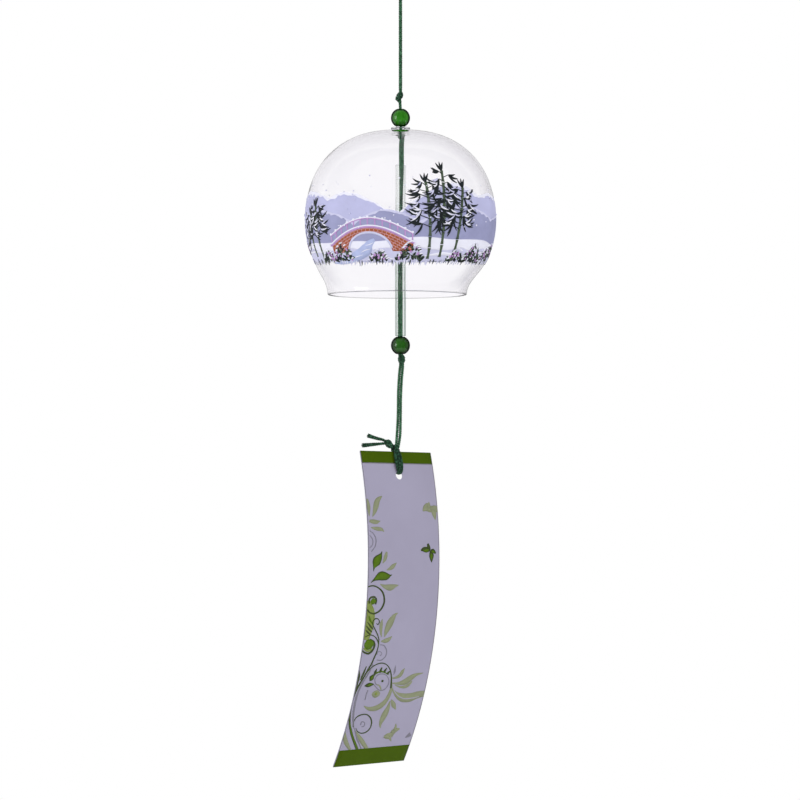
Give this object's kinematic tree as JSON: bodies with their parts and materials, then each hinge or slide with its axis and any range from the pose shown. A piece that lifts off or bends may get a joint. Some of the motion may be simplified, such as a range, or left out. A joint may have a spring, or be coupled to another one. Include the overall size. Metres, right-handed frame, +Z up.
{
  "type": "furin wind bell",
  "caption": "Hanging glass wind bell: an open glass globe on a doubled cord, beads above and below, a glass tube clapper and a curved paper strip that catches the wind.",
  "frame": {"origin": "the hanging point, at the middle of the cord's fold, where its inside rests on a hook", "axes": "+Z up along the hanging cord, -Y towards the viewer of the picture, +X to the viewer's right"},
  "size_m": [0.08, 0.08, 0.3478],
  "materials": {
    "cord": "twisted dark green cord",
    "bead_glass": "clear green glass",
    "clear_glass": "clear, smooth",
    "paper": "matte printed card"
  },
  "bodies": {
    "loop": {"hanging_loop": "cord"},
    "upper_cord": {"hanging_cord": "cord", "top_knot": "cord"},
    "neck": {"neck_cord": "cord"},
    "globe": {"glass_globe": "clear_glass"},
    "top_bead": {"upper_bead": "bead_glass"},
    "inner_knot": {"globe_knot": "cord"},
    "clapper": {"clapper_cord": "cord"},
    "tube": {"clapper_tube": "clear_glass"},
    "bottom_bead": {"lower_bead": "bead_glass"},
    "end_knot": {"lower_knot": "cord"},
    "strip_line": {"strip_cord": "cord"},
    "strip": {"strip_loop": "cord", "tie_knot": "cord", "cord_tails": "cord", "paper_strip": "paper"}
  },
  "joints": [
    {"name": "cord_swing_sideways", "type": "hinge", "parent": "loop", "child": "upper_cord", "pos_m": [0, 0, -0.0202], "axis": [0, 1, 0], "range_deg": [-30, 30]},
    {"name": "bell_swing_forward", "type": "hinge", "parent": "upper_cord", "child": "neck", "pos_m": [0, 0, -0.0655], "axis": [1, 0, 0], "range_deg": [-30, 30]},
    {"name": "globe_turn", "type": "hinge", "parent": "neck", "child": "globe", "pos_m": [0, 0, -0.08018], "axis": [0, 0, 1], "continuous": true},
    {"name": "upper_bead_lift", "type": "slide", "parent": "neck", "child": "top_bead", "axis": [0, 0, 1], "range_m": [0, 0.0024]},
    {"name": "clapper_swing_forward", "type": "hinge", "parent": "neck", "child": "inner_knot", "pos_m": [0, 0, -0.08108], "axis": [1, 0, 0], "range_deg": [-14, 14]},
    {"name": "clapper_swing_sideways", "type": "hinge", "parent": "inner_knot", "child": "clapper", "pos_m": [0, 0, -0.08108], "axis": [0, 1, 0], "range_deg": [-14, 14]},
    {"name": "tube_lift", "type": "slide", "parent": "clapper", "child": "tube", "axis": [0, 0, 1], "range_m": [0, 0.0108]},
    {"name": "lower_bead_turn", "type": "hinge", "parent": "clapper", "child": "bottom_bead", "pos_m": [0, 0, -0.16968], "axis": [0, 0, 1], "continuous": true},
    {"name": "strip_swing_forward", "type": "hinge", "parent": "clapper", "child": "end_knot", "pos_m": [0, 0, -0.17548], "axis": [1, 0, 0], "range_deg": [-50, 50]},
    {"name": "strip_swing_sideways", "type": "hinge", "parent": "end_knot", "child": "strip_line", "pos_m": [0, 0, -0.17548], "axis": [0, 1, 0], "range_deg": [-50, 50]},
    {"name": "strip_twist", "type": "hinge", "parent": "strip_line", "child": "strip", "pos_m": [-0.00172, -0.0004, -0.21267], "axis": [0, 0, 1], "range_deg": [-180, 180]}
  ]
}
